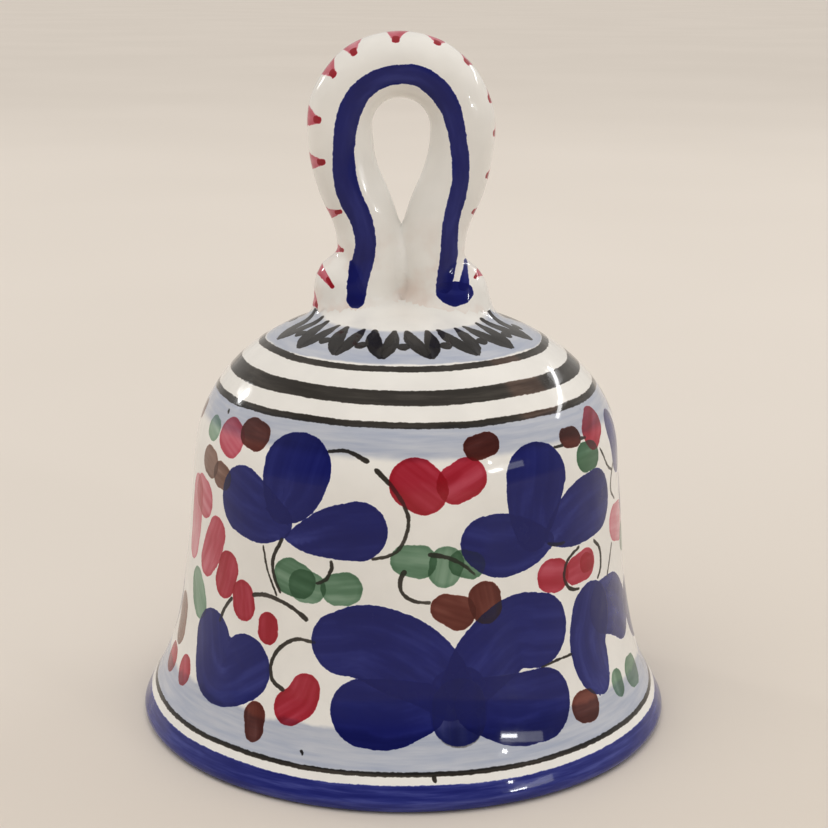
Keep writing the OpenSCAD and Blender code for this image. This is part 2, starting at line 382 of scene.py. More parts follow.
# Strokes the photograph shows, in the order they are laid: pigment, then the load of each stroke, and the azimuth,
# height and half width at its nodes
FRONT = [
    ("cobalt", [
        (0.92, (-28.3, 42.2, 5.0), (-29.3, 39.9, 4.4), (-31.3, 37.6, 2.6)),
        (0.85, (-44.3, 36.8, 4.6), (-38.5, 35.7, 3.9), (-32.5, 35.2, 2.3)),
        (1.0, (-29.2, 33.4, 0.5), (-24, 33.9, 2.0), (-17.5, 34.8, 3.3), (-11.3, 35.3, 3.85)),
        (1.0, (35, 40.7, 4.9), (33.7, 37.2, 4.0), (33, 34, 2.6)),
        (0.95, (19.8, 33.5, 3.4), (24, 32.9, 4.15), (31, 32.5, 3.1), (37.2, 32.4, 1.2)),
        (0.85, (38.5, 33, 1.2), (44, 33.9, 3.1), (50, 34.9, 4.3), (57, 35.4, 4.4)),
        (0.9, (-14.4, 20.5, 4.1), (-8, 20.9, 4.95), (0, 19.2, 5.2), (7, 16.6, 4.2), (11, 14, 3.2)),
        (0.95, (-8.6, 11.9, 4.4), (-3, 11.9, 4.5), (4, 12.6, 3.4)),
        (0.85, (33.6, 20.8, 4.9), (27, 21.2, 4.9), (20, 18.6, 4.5), (14.5, 15.2, 3.4)),
        (0.95, (32.8, 11.2, 4.75), (26, 11.3, 4.7), (18, 12.4, 3.7)),
        (0.5, (12.6, 14.0, 3.9), (12.5, 11.3, 3.7)),
    ]),
    ("smoke", [
        (0.8, (12.6, 12.8, 3.5), (12.5, 10.9, 3.5)),
    ]),
    ("cobalt", [
        (0.75, (-53.6, 16.2, 4.3), (-51.6, 13.4, 4.4), (-47.6, 12.3, 3.9), (-43.4, 13.4, 4.4), (-40.3, 14.6, 4.5)),
        (0.75, (53, 20.1, 4.7), (50.6, 17, 4.2), (51.4, 13.6, 3.7), (53, 11.6, 2.3)),
        (0.7, (59, 20.4, 3.8), (65, 19.7, 4.3), (70, 17.8, 4.0)),
        (0.6, (75.5, 43, 2.9), (76.5, 39.5, 2.7)),
    ]),
    ("red", [
        (1.1, (2.4, 41.6, 3.3), (4.6, 40.7, 3.1)),
        (0.85, (15.4, 42.1, 2.6), (12.4, 41.3, 2.5)),
        (0.42, (-54.2, 44.4, 2.45), (-51.8, 43.9, 2.4)),
        (0.3, (-70, 34.5, 2.6), (-70.5, 30.5, 2.6), (-71, 27, 2.2)),
        (0.4, (-66.4, 35.1, 2.5), (-63.4, 34.5, 2.7)),
        (0.5, (-55.3, 30.9, 2.3), (-57.5, 28.5, 2.6), (-60, 26.3, 2.2)),
        (0.75, (-49.2, 27.0, 2.25), (-50.5, 24.8, 2.25)),
        (0.85, (-42.9, 24.0, 2.1), (-42.4, 22.8, 2.15)),
        (1.0, (-34, 21.3, 1.6), (-34, 20.2, 1.65)),
        (0.9, (-22.6, 13.9, 2.1), (-23.6, 12.4, 2.4), (-26.2, 11.2, 2.3)),
        (0.7, (-64.2, 10.2, 1.9), (-63.6, 9.8, 1.9)),
        (0.9, (-76, 9.6, 1.9), (-74, 9.4, 1.9)),
        (0.68, (38, 27.6, 2.25), (40, 27.4, 2.3)),
        (0.65, (46.8, 27.2, 1.95), (51.3, 27.5, 2.2)),
        (0.5, (51.4, 27.7, 1.4), (52.6, 27.5, 1.3)),
        (0.7, (59.2, 44.3, 2.2), (63, 45.5, 2.25)),
        (0.3, (70, 30.5, 2.6), (75, 30, 2.9)),
    ]),
    ("maroon", [
        (0.9, (18.2, 45.5, 1.6), (21.8, 45.9, 1.6)),
        (0.85, (-45.6, 45.6, 2.0), (-42.4, 45.3, 2.0)),
    ]),
    ("umber", [
        (0.9, (-62.6, 40.1, 2.0), (-60.4, 39.8, 2.0)),
        (0.95, (-55.2, 39.0, 1.8), (-53.0, 38.8, 1.7)),
    ]),
    ("maroon", [
        (0.8, (9.7, 25.4, 1.9), (12.9, 24.7, 2.3)),
        (1.0, (19.3, 26.3, 2.25), (19.8, 25.0, 2.1)),
        (0.8, (-34.9, 9.2, 1.75), (-34.1, 7.4, 1.45)),
        (1.3, (47.4, 44.9, 1.35), (50.6, 44.8, 1.4)),
        (0.85, (44.6, 9.1, 2.15), (46.4, 9.0, 2.2)),
    ]),
    ("umber", [
        (0.7, (-75, 16.5, 2.6), (-74, 14, 2.4)),
    ]),
    ("green", [
        (0.7, (-28.3, 28.3, 2.5), (-25.6, 27.9, 2.3)),
        (0.5, (-24.6, 27.4, 2.2), (-22.6, 27.3, 2.1)),
        (0.6, (-16.2, 27.5, 2.1), (-13.8, 27.7, 2.2)),
        (0.6, (0.4, 31.8, 2.0), (3.6, 31.6, 2.2)),
        (0.65, (10, 31.2, 2.3), (9.6, 30.2, 2.1)),
        (0.6, (16.2, 30.8, 1.8), (13.8, 31.2, 1.8)),
        (0.3, (-64.6, 44.4, 1.6), (-62.6, 44.1, 1.6)),
        (0.45, (-65.4, 22.6, 1.9), (-63.4, 21.0, 2.3), (-61.6, 19.8, 2.0)),
        (0.75, (53.4, 41.8, 2.0), (56.8, 41.8, 2.0)),
        (0.55, (60, 9.7, 1.7), (60, 9.1, 1.6)),
        (0.55, (68.8, 9.1, 2.2), (71.2, 9.0, 2.2)),
    ]),
]

# Fine ink stems and tendrils: azimuth, height and half width at each node
STEMS = [
    [(-19.8, 45.0, 0.35), (-15, 45.2, 0.38), (-9.6, 44.2, 0.5)],
    [(-7, 43.1, 0.55), (-3, 41.1, 0.42), (0.4, 38.2, 0.36), (0.8, 36, 0.36),
     (-1, 33.4, 0.35), (-4, 32.3, 0.33), (-7.4, 31.9, 0.3)],
    [(-31, 33, 0.4), (-33.4, 30.2, 0.4), (-33.0, 28, 0.38), (-31, 26, 0.3)],
    [(-36.6, 31.6, 0.22), (-35, 28.5, 0.24), (-32, 25.5, 0.25)],
    [(-17.6, 31.1, 0.35), (-17.4, 30.1, 0.37), (-18.8, 28.6, 0.35), (-21, 28, 0.3)],
    [(-39.2, 24.6, 0.45), (-35, 25.1, 0.45), (-30, 24.7, 0.42), (-26, 23.9, 0.4), (-23.6, 23.1, 0.6)],
    [(-47, 23, 0.42), (-49.3, 21.5, 0.42), (-51, 19.4, 0.4)],
    [(-21, 20.2, 0.35), (-26, 20.2, 0.38), (-30.6, 18.3, 0.4),
     (-32.3, 16, 0.42), (-31.4, 14.1, 0.42), (-28.4, 13.3, 0.5)],
    [(6.2, 32.5, 0.5), (10, 32.1, 0.42), (14, 31, 0.36), (17, 29.5, 0.25)],
    [(0, 30.2, 0.55), (-1, 29, 0.4), (-0.5, 27.6, 0.38), (2, 26.5, 0.36), (6, 26.2, 0.3)],
    [(48.5, 30.2, 0.3), (44.2, 29, 0.38), (42.6, 27, 0.4), (44.4, 25.1, 0.38), (48, 24.5, 0.3)],
    [(55.5, 30.1, 0.3), (58.4, 28.6, 0.38), (58.8, 26, 0.38), (57, 24.7, 0.3)],
    [(42, 44.2, 0.32), (45, 44.2, 0.3)],
    [(53, 44.3, 0.3), (55.4, 44.2, 0.3)],
    [(62, 42, 0.3), (66, 39.2, 0.3), (70, 38, 0.25)],
    [(72, 39, 0.3), (68.6, 37, 0.35), (68, 35.2, 0.35), (71, 33.8, 0.3)],
    [(66.5, 28, 0.3), (64, 25.5, 0.32), (62.5, 24.1, 0.3)],
    [(37.5, 32.0, 0.25), (40, 31.6, 0.4), (43, 31.5, 0.3)],
    [(33.8, 15.9, 0.22), (38.2, 16.2, 0.26), (43.5, 16.3, 0.26)],
    [(-59.6, 47.0, 0.4), (-59.1, 46.7, 0.35)],
    [(-21.6, 6.4, 0.3), (-21.3, 6.1, 0.28)],
    [(6.5, 4.5, 0.5), (6.6, 4.15, 0.4)],
]


def placed(az, z, turn, parts):
    """Motif parts given in millimetres from its middle, turned and set on the bell at an azimuth and height."""
    c, s = math.cos(math.radians(turn)), math.sin(math.radians(turn))
    for pigment, load, nodes in parts:
        out = []
        for x, y, w in nodes:
            h = z + 0.97 * (s * x + c * y)
            out.append((az + math.degrees((c * x - s * y) / float(radius_at(h))), h, w))
        yield pigment, load, out


def trefoil(size, load):
    """Three teardrop petals from one point."""
    petal = ((0.8, 1.2), (4, 3.1), (8, 4.6))
    ways = [(math.cos(math.radians(turn)), math.sin(math.radians(turn))) for turn in (0, 118, 240)]
    return [("cobalt", load, [(-s * r * size, c * r * size, w * size) for r, w in petal]) for c, s in ways]


def wings(size, load):
    """Four broad petals with a smoky middle."""
    petal, ways = ((1.2, 3.2), (5, 4.3), (8.6, 4.5)), ((-1, 0.75), (-0.9, -0.6), (1, 0.7), (0.85, -0.65))
    petals = [("cobalt", load, [(x * r * size, y * r * size, w * size) for r, w in petal]) for x, y in ways]
    return petals + [("smoke", 0.7, [(0, 0.8 * size, 3.2 * size), (0, -1.0 * size, 3.2 * size)])]


def heart(pigment, size, load):
    lobes = ((-3.1, 1.8, 3.5), (-1.9, -0.6, 3.5), (0, -1.7, 3.2), (1.9, -0.6, 3.6), (3.2, 1.7, 3.7))
    return [(pigment, load, [(x * size, y * size, w * size) for x, y, w in lobes])]


def pair(pigment, size, load):
    """Two dabs side by side."""
    return [(pigment, load, [(-2.4 * size, 0.1, 2.1 * size), (-1.6 * size, 0, 2.1 * size)]),
            (pigment, 0.85 * load, [(2.2 * size, -0.1, 2.0 * size), (2.8 * size, 0, 2.0 * size)])]


def tendril(size, flip):
    side = size * flip
    return [("ink", 0.8, [(0, 0, 0.5), (2.6 * side, 1.2 * size, 0.4), (4.6 * side, 0.2, 0.36),
                          (5.2 * side, -2.6 * size, 0.36), (3.4 * side, -4.4 * size, 0.3)])]


def far_side():
    """The same motifs, carried round the sides and back: each motif, then azimuth, height and turn of each copy."""
    curl, uncurl = tendril(0.8, 1), tendril(0.8, -1)
    spots = (
        (trefoil(0.9, 0.9), (97, 37.2, 12), (148, 37.2, -8), (-158, 37.2, 10), (-104, 37.2, -14)),
        (wings(0.93, 0.88), (119, 16.2, 4), (-134, 16.2, 4)),
        (heart("cobalt", 1.25, 0.8), (166, 15.4, 0)),
        (heart("cobalt", 1.2, 0.8), (-95, 15.4, 0)),
        (heart("cobalt", 1.0, 0.8), (87, 15.4, 0)),
        (heart("red", 0.62, 0.95), (123, 42, 0), (-178, 41.5, 0), (-130, 42.5, 0)),
        (pair("green", 1.0, 0.75), (84, 26.4, -10), (139, 25.8, 14), (-164, 26, -20), (-112, 26.4, 8)),
        (pair("red", 0.98, 0.8), (105, 27, 20), (158, 25.5, 0), (-148, 29, 24), (-92, 27.5, -16)),
        (pair("maroon", 0.72, 0.95), (112, 44.5, 6), (169, 45, 6), (-144, 45.2, 6), (-86, 44.6, 6)),
        (pair("red", 0.8, 0.95), (145, 10, 30), (-170, 20.5, 30), (-109, 9.2, 30), (102, 8.8, 30)),
        (pair("maroon", 0.8, 0.85), (138, 8.4, -30), (-158, 8.6, -30)),
        (curl, (112, 33.5, 0)), (uncurl, (132, 35, 0)), (curl, (164, 32, 0), (-142, 38.5, 0)),
        (uncurl, (-120, 33, 0)), (curl, (90, 22, 0)), (uncurl, (-172, 29, 0)),
        (curl, (150, 19, 0), (-112, 21.5, 0)),
    )
    for motif, *copies in spots:
        for az, z, turn in copies:
            yield from placed(az, z, turn, motif)


def garland():
    """A plain garland round the crown: pairs of leaves that lean away from each other, and berries between."""
    left = [(0.6, 55.2, 0.3), (-2.0, 55.9, 0.95), (-5.4, 56.75, 1.05), (-7.6, 57.5, 0.35)]
    right = [(1.8, 55.2, 0.3), (3.4, 55.9, 0.9), (4.6, 56.75, 0.95), (5.2, 57.5, 0.3)]
    berry = [(10.2, 56.2, 0.8), (10.9, 56.25, 0.75)]
    for first in (-72, 108):
        for k in range(8):
            for load, nodes in ((0.95, left), (0.9, right), (0.8, berry)):
                yield "ink", load, [(first + 20.6 * k + turn, z, w) for turn, z, w in nodes]


def bell_strokes():
    """Pigment, load and nodes of every stroke on the bell."""
    for pigment, strokes in FRONT:
        for load, *nodes in strokes:
            yield pigment, load, nodes
    yield from far_side()
    yield from garland()
    for stem in STEMS:
        yield "ink", 0.75, [(az, z, 0.6 * w) for az, z, w in stem]


def paint_bell(az, along, z, outside):
    """Lays every stroke on the bell's outer skin."""
    work = Brushwork(len(az))
    r = radius_at(z)
    for seed, (pigment, load, nodes) in enumerate(bell_strokes()):
        nodes = np.array(nodes, float)
        middle = nodes[:, 0].mean()
        turn = (az - middle + 180) % 360 - 180
        points = np.stack([np.radians(turn) * r, along], 1)
        sideways = np.radians(nodes[:, 0] - middle) * radius_at(nodes[:, 1])
        flat = np.stack([sideways, along_at(nodes[:, 1]), nodes[:, 2]], 1)
        work.stroke(points, flat, pigment, load, seed, outside & (np.abs(turn) < 60))
    return work


# ---------------------------------------------------------------- meshes


def in_scene(name, data):
    obj = bpy.data.objects.new(name, data)
    bpy.context.scene.collection.objects.link(obj)
    return obj


def new_object(name, points, faces, uvs):
    """A smooth mesh object in metres, with its own bake map."""
    mesh = bpy.data.meshes.new(name)
    mesh.from_pydata((points * MM).tolist(), [], faces)
    layer = mesh.uv_layers.new(name="OFBake")
    layer.data.foreach_set("uv", np.asarray(uvs, np.float32).ravel())
    mesh.polygons.foreach_set("use_smooth", np.ones(len(mesh.polygons), bool))
    return in_scene(name, mesh)


def grid(rows, columns):
    """Row and column of each quad between rings of points, and its four corners."""
    i, j = np.meshgrid(np.arange(rows - 1), np.arange(columns), indexing="ij")
    this, after = i * columns, (j + 1) % columns
    corners = [this + j, this + columns + j, this + columns + after, this + after]
    return i, j, np.stack(corners, -1).reshape(-1, 4)


def float_colour(mesh, name, values):
    a = mesh.attributes.new(name, "FLOAT_COLOR", "POINT")
    a.data.foreach_set("color", np.asarray(values, np.float32).ravel())


def outline_rows():
    """Outline places from the crown's centre round the lip to the ceiling: radius, height, length, inside, foot."""
    total = OUTER_S[-1]
    steps = np.arange(1, int((total - 2.6) / ROW_STEP)) * ROW_STEP
    steps = np.r_[steps, np.linspace(steps[-1], total, 8)[1:]]
    rows = [(np.interp(s, OUTER_S, OUTER[:, 0]), np.interp(s, OUTER_S, OUTER[:, 1]), s, 0, 0) for s in steps]
    for share in (0.08, 0.5, 0.92, 1.0):
        r = FOOT[0, 0] + (FOOT[1, 0] - FOOT[0, 0]) * share
        rows.append((r, 0.0, total + FOOT[0, 0] - r, 0, 1 if 0.05 < share < 0.95 else 0))
    start = rows[-1][2]
    lengths = arc_lengths(INNER)
    for s in np.r_[0.5, 1.0, 1.6, np.linspace(2.6, lengths[-1] - LAST_GAP, 24)]:
        rows.append((np.interp(s, lengths, INNER[:, 0]), np.interp(s, lengths, INNER[:, 1]), start + s, 1, 0))
    return np.array(rows)


def leaning(p):
    """Points moved sideways as the thrown piece leans."""
    out = p.copy()
    z = np.maximum(p[:, 2], 0)
    out[:, 0] += LEAN * z - (LEAN + HANDLE_LEAN) * z * smooth_step(*LEAN_TURNS, z)
    return out


def settle_at_feet(points, near):
    """Lifts the crown's skin into the rounded glaze at the handle's feet, a hair under the coil's own skin."""
    index = np.nonzero(near)[0]
    p = points[index]
    up = np.tile([0.0, 0.0, 1.0], (len(p), 1))
    lengths, _ = first_crossing(crown_side, p, up, 0.0, FEET_RISE, 0.0)
    p[:, 2] += np.where(crown_side(p) < 0, lengths, 0)
    points[index] = p
    return index


def bell_body():
    """The bell's skin in one closed mesh, outside, lip, foot ring and inside."""
    rows = outline_rows()
    az = np.linspace(-180, 180, COLUMNS, endpoint=False)
    a = np.radians(az)[None, :]
    r, z, inside = rows[:, 0:1], rows[:, 1:2], rows[:, 3:4]
    wave = (
        0.10 * np.sin(2 * a + 0.6 + z / 31) + 0.05 * np.sin(3 * a - 1.1 + z / 9)
        + 0.03 * np.sin(7 * a + z / 5) + 0.03 * np.sin(z / 2.3 + a)
    ) * np.minimum(r / 22, 1) * smooth_step(0.0, 2.5, z) * (1 - 0.5 * inside)
    rr = r + wave
    points = np.stack([rr * np.sin(a), -rr * np.cos(a), np.broadcast_to(z, rr.shape)], -1).reshape(-1, 3)
    place = np.stack([np.broadcast_to(rows[:, k : k + 1], rr.shape) for k in (2, 1, 3, 4)], -1).reshape(-1, 4)
    az_all = np.broadcast_to(az[None, :], rr.shape).ravel()
    near = (place[:, 2] < 0.5) & (np.hypot(points[:, 0], points[:, 1]) < FEET_REACH) & (points[:, 2] > FEET_BASE)
    settled = settle_at_feet(points, near)

    n, m = len(rows), COLUMNS
    i, j, quads = grid(n, m)
    top, ceiling, last = n * m, n * m + 1, (n - 1) * m
    faces = quads.tolist() + [[top, q, (q + 1) % m] for q in range(m)]
    faces += [[ceiling, last + (q + 1) % m, last + q] for q in range(m)]
    ends = np.array([[0, 0, CROWN_Z], [0, 0, CEILING_Z]])
    points = np.vstack([points, ends])
    place = np.vstack([place, [[0, CROWN_Z, 0, 0], [rows[-1, 2] + LAST_GAP, CEILING_Z, 1, 0]]])
    az_all = np.r_[az_all, 0, 0]

    obj = new_object("bell_skin", leaning_outside(points, place[:, 2]), faces, bell_map(rows, i, j, m))
    mesh = obj.data
    normals = np.zeros(len(points) * 3)
    mesh.vertices.foreach_get("normal", normals)
    normals = normals.reshape(-1, 3)
    normals[settled] = gradient(glaze_distance, points[settled])
    mesh.normals_split_custom_set_from_vertices(normals.tolist())
    float_colour(mesh, "place", place)
    outside = (place[:, 2] < 0.5) & (place[:, 3] < 0.5)
    work = paint_bell(az_all, place[:, 0], place[:, 1], outside)
    work.store(mesh)
    mesh.materials.append(bell_glaze(len(work.layers)))
    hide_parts("bell_body")
    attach(obj, "bell")


def leaning_outside(points, inside):
    """Leans the outer skin, and leaves the hollow true to the clapper."""
    return points + np.where(inside[:, None] > 0.5, 0, leaning(points) - points)


# The bell's bake map: share of each strip's height, and where the front, back and hollow strips begin
STRIP_HIGH, FRONT_LOW, BACK_LOW, HOLLOW_HIGH = 0.395, 0.595, 0.19, 0.18
MAP_MARGIN = 0.006
CROWN_LENGTH, CROWN_SQUEEZE = 14, 0.35  # the crown's middle takes less of the map


def bell_map(rows, i, j, m):
    """Flat layout for baking: front half above the back half, the hollow in a strip below."""
    total = rows[-1, 2]
    split = float(rows[rows[:, 3] > 0.5][0, 2])
    s0, s1 = rows[i, 2], rows[i + 1, 2]
    inner = rows[i + 1, 3] > 0.5
    centre = (j + 0.5) / m * 360 - 180
    front = np.abs(centre) < 90

    def outer_v(s):
        squeezed = CROWN_LENGTH * CROWN_SQUEEZE
        high = np.where(s < CROWN_LENGTH, s * CROWN_SQUEEZE, squeezed + (s - CROWN_LENGTH))
        low = np.where(front, FRONT_LOW, BACK_LOW)
        return low + STRIP_HIGH * (1 - high / (squeezed + split - CROWN_LENGTH))

    def inner_v(s):
        return HOLLOW_HIGH * (total + LAST_GAP - s) / (total - split + 3)

    outer_u = ((centre - 180 / m - np.where(front, -90, 90)) % 360) / 180
    u0, u1 = (MAP_MARGIN + (1 - 2 * MAP_MARGIN) * np.where(inner, (j + k) / m, outer_u + 2 * k / m) for k in (0, 1))
    v0, v1 = (np.where(inner, inner_v(s), outer_v(s)) for s in (s0, s1))
    quads = np.stack([u0, v0, u0, v1, u1, v1, u1, v0], -1)
    middle = (u0 + u1) / 2
    top = np.stack([middle, v0 + 0.002, u0, v0, u1, v0], -1)[i == 0]
    ceiling = np.stack([middle, v1 - 0.002, u1, v1, u0, v1], -1)[i == i.max()]
    return np.concatenate([quads.ravel(), top.ravel(), ceiling.ravel()])


def coil_line():
    """Place and direction along the coil's centre line, from the left foot over the top to the right foot."""
    half = []
    for x, z, r, start, end in COIL_ARCS:
        steps = max(4, int(abs(math.radians(end - start)) * r / COIL_STEP))
        going = 1 if end > start else -1
        for k in range(steps + (end == COIL_ARCS[-1][-1])):
            angle = math.radians(start + (end - start) * k / steps)
            c, sn = math.cos(angle), math.sin(angle)
            half.append((x + r * c, z + r * sn, -going * sn, going * c))
    half = np.array(half)
    left = half[:0:-1] * [-1, 1, 1, -1]
    return np.vstack([left, half])


def coil_rings():
    """Ring centres, ring directions for each column, and the place of each ring along the coil."""
    line = coil_line()
    theta = np.radians(np.linspace(-90, 270, COIL_COLUMNS, endpoint=False))
    along = arc_lengths(line[:, :2])
    along -= along[-1] / 2
    centres, steps, lengths = [], [], []

    def ring(row, s, tilt):
        x, z, tx, tz = row
        outward = np.array([-tz, 0, tx])
        tangent = np.array([tx, 0, tz]) * (1 if tilt >= 0 else -1)
        flat = np.cos(theta)[:, None] * [0, -1, 0] + np.sin(theta)[:, None] * outward
        c, sn = math.cos(math.radians(abs(tilt))), math.sin(math.radians(abs(tilt)))
        centres.append(np.tile([x, 0, z], (len(theta), 1)))
        steps.append(flat * c + tangent * sn)
        lengths.append(np.full(len(theta), s + COIL_R * math.radians(tilt)))

    tilts = (16, 32, 48, 66, 84)  # of the rings that round off each end
    for tilt in tilts[::-1]:
        ring(line[0], along[0], -tilt)
    for row, s in zip(line, along):
        ring(row, s, 0)
    for tilt in tilts:
        ring(line[-1], along[-1], tilt)
    return np.array(centres), np.array(steps), np.array(lengths), np.degrees(theta)


def handle():
    """The coiled loop, its legs pressed together and its feet rounded into the crown."""
    centres, steps, lengths, theta = coil_rings()
    n, m = centres.shape[:2]
    start, step = centres.reshape(-1, 3), steps.reshape(-1, 3)
    towards = start[:, 0] * step[:, 0] < 0
    near_seam = (np.abs(start[:, 0]) > 1e-6) & towards & (start[:, 2] < LOOP_Z)
    wall = np.where(near_seam, np.abs(start[:, 0]) / np.maximum(np.abs(step[:, 0]), 1e-6), 99)
    buried = COIL_R - 0.1
    reach, found = first_crossing(coil_side, start, step, RAY_START, np.minimum(wall, RAY_END), buried)
    on_seam = near_seam & ~found & (wall < RAY_END)
    points = start + step * np.where(on_seam, wall, np.where(found, reach, buried))[:, None]
    points[on_seam] = seam_points(points[on_seam], np.where(step[on_seam, 1] < 0, -1.0, 1.0))

    i, j, quads = grid(n, m)
    twin = np.arange(n * m)
    right = np.nonzero(on_seam & (start[:, 0] > 0))[0]
    twin[right] = (n - 1 - right // m) * m + right % m
    kept = ~on_seam[quads].all(1)
    uvs = handle_map(lengths, i, j, m).reshape(-1, 8)[kept]
    quads = twin[quads[kept]]
    caps = np.array([np.arange(m), np.arange(n * m - 1, n * m - m - 1, -1)])
    a = np.radians(theta)
    cap_uv = 0.02 + 0.01 * np.stack([np.cos(a), np.sin(a)], 1)
    used = np.unique(np.r_[quads.ravel(), caps.ravel()])
    order = np.full(n * m, -1)
    order[used] = np.arange(len(used))
    faces = order[quads].tolist() + order[caps].tolist()
    uvs = np.concatenate([uvs.ravel(), cap_uv.ravel(), cap_uv.ravel()])

    moved = leaning(points[used])
    obj = new_object("handle_coil", moved, faces, uvs)
    obj.data.normals_split_custom_set_from_vertices(gradient(glaze_distance, points)[used].tolist())
    float_colour(obj.data, "height", np.repeat(moved[:, 2:], 4, axis=1))
    work = paint_handle(moved, lengths.ravel()[used], np.tile(theta, n)[used])
    work.store(obj.data)
    obj.data.materials.append(handle_glaze(len(work.layers)))
    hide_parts("handle_loop")
    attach(obj, "bell")


def seam_points(p, side):
    """Points of the seam plane moved to the glaze's surface, in front or behind."""
    start = np.stack([np.zeros(len(p)), np.zeros(len(p)), p[:, 2]], 1)
    step = np.stack([np.zeros(len(p)), side, np.zeros(len(p))], 1)
    reach, _ = first_crossing(coil_side, start, step, 0.0, RAY_END, 1.0)
    return start + step * reach[:, None]


def handle_map(lengths, i, j, m):
    s = lengths[:, 0]
    low, high = s.min(), s.max()
    upper = (s[i] + s[i + 1]) / 2 > 0
    u = lambda value: 0.02 + 0.96 * np.where(upper, value / high, (value - low) / -low)
    v = lambda column: np.where(upper, 0.52, 0.05) + 0.44 * column / m
    return np.stack([u(s[i]), v(j), u(s[i + 1]), v(j), u(s[i + 1]), v(j + 1), u(s[i]), v(j + 1)], -1).reshape(-1, 8)


# Painted line on the handle's front: x, z, half width. The back has its mirror image.
STRIPE = [
    (-6.8, 60.6, 1.25), (-6.5, 63.2, 1.40), (-6.0, 65.2, 1.45), (-5.5, 67.4, 1.38), (-5.6, 69.4, 1.41),
    (-6.3, 71.9, 1.48), (-7.4, 74.1, 1.60), (-8.1, 76.3, 1.58), (-8.4, 78.6, 1.48), (-8.4, 81.2, 1.41),
    (-8.1, 83.9, 1.48), (-7.4, 86.3, 1.52), (-6.3, 88.2, 1.41), (-4.7, 89.6, 1.34), (-2.7, 90.5, 1.28),
    (-0.7, 90.8, 1.25), (1.3, 90.7, 1.34), (3.2, 89.7, 1.41), (4.7, 88.3, 1.45), (5.9, 86.4, 1.34),
    (6.6, 84.0, 1.22), (7.0, 81.9, 1.15), (7.3, 79.7, 1.15), (7.4, 77.5, 1.13), (7.1, 75.0, 1.13),
    (6.5, 72.8, 1.08), (6.1, 70.6, 1.10), (6.0, 68.3, 1.13), (5.9, 66.1, 1.18), (5.6, 64.4, 1.13), (5.3, 62.4, 1.05),
]
STRIPE_ENDS = [
    [(-7.4, 65.4, 0.3), (-7.2, 63.9, 0.65), (-6.9, 62.0, 1.15), (-6.8, 60.8, 1.2)],
    [(5.4, 61.6, 1.2), (6.8, 61.3, 1.65), (8.0, 61.4, 1.3)],
    [(8.3, 65.4, 0.2), (8.2, 64.0, 0.4), (8.0, 62.4, 0.75)],
]


def paint_handle(points, s, around):
    """The stripe on each face, and short red dashes along the outer edge."""
    work = Brushwork(len(points))
    face = points[:, [0, 2]]
    seed = 0
    for sign in (1, -1):
        for nodes, load in [(STRIPE, 0.9)] + [(end, 0.75) for end in STRIPE_ENDS]:
            seed += 1
            mirrored = [(sign * x, z, w) for x, z, w in nodes]
            work.stroke(face, mirrored, "cobalt", load, seed, -sign * points[:, 1] > 0.5)
    round_coil = np.stack([s, np.radians(around) * COIL_R], 1)
    for k, (x, z, tip) in enumerate(DASHES):
        off_edge = np.abs(around - 80) > 12
        near = np.argmin(np.hypot(points[:, 0] - x, points[:, 2] - z) + 9 * off_edge)
        for pigment, load, nodes in dash(s[near], tip, 0.7 if x > 0 and z > 75 else -0.4):
            work.stroke(round_coil, nodes, pigment, load, seed + 2 * k)
    return work


# Red dashes over the outer edge: x and z of the place, and the angle of the tip round the coil from the front
DASHES = [
    (-12.1, 60.4, 40), (-11.2, 64.0, 38), (-9.1, 67.1, 55), (-10.2, 72.0, 34), (-11.8, 79.0, 32), (-11.9, 85.1, 34),
    (-9.8, 90.7, 40), (-6.6, 93.5, 44), (-1.2, 95.1, 45), (3.9, 95.3, 60), (8.0, 92.5, 66), (10.8, 87.8, 70),
    (11.4, 83.0, 68), (11.2, 77.6, 66), (10.2, 71.6, 64), (10.1, 63.7, 60),
]


def dash(s, tip, drift):
    """A pale wedge that narrows from beyond the outer edge to a dark tip on the front."""
    place = lambda share: (s + (share - 0.6) * drift, math.radians(125 + (tip - 125) * share) * COIL_R)
    yield "red", 0.36, [(*place(0), 0.6), (*place(0.4), 1.0), (*place(0.7), 0.72), (*place(0.98), 0.3)]
    yield "red", 0.95, [(*place(0.86), 0.34), (*place(0.98), 0.34)]


# ---------------------------------------------------------------- materials


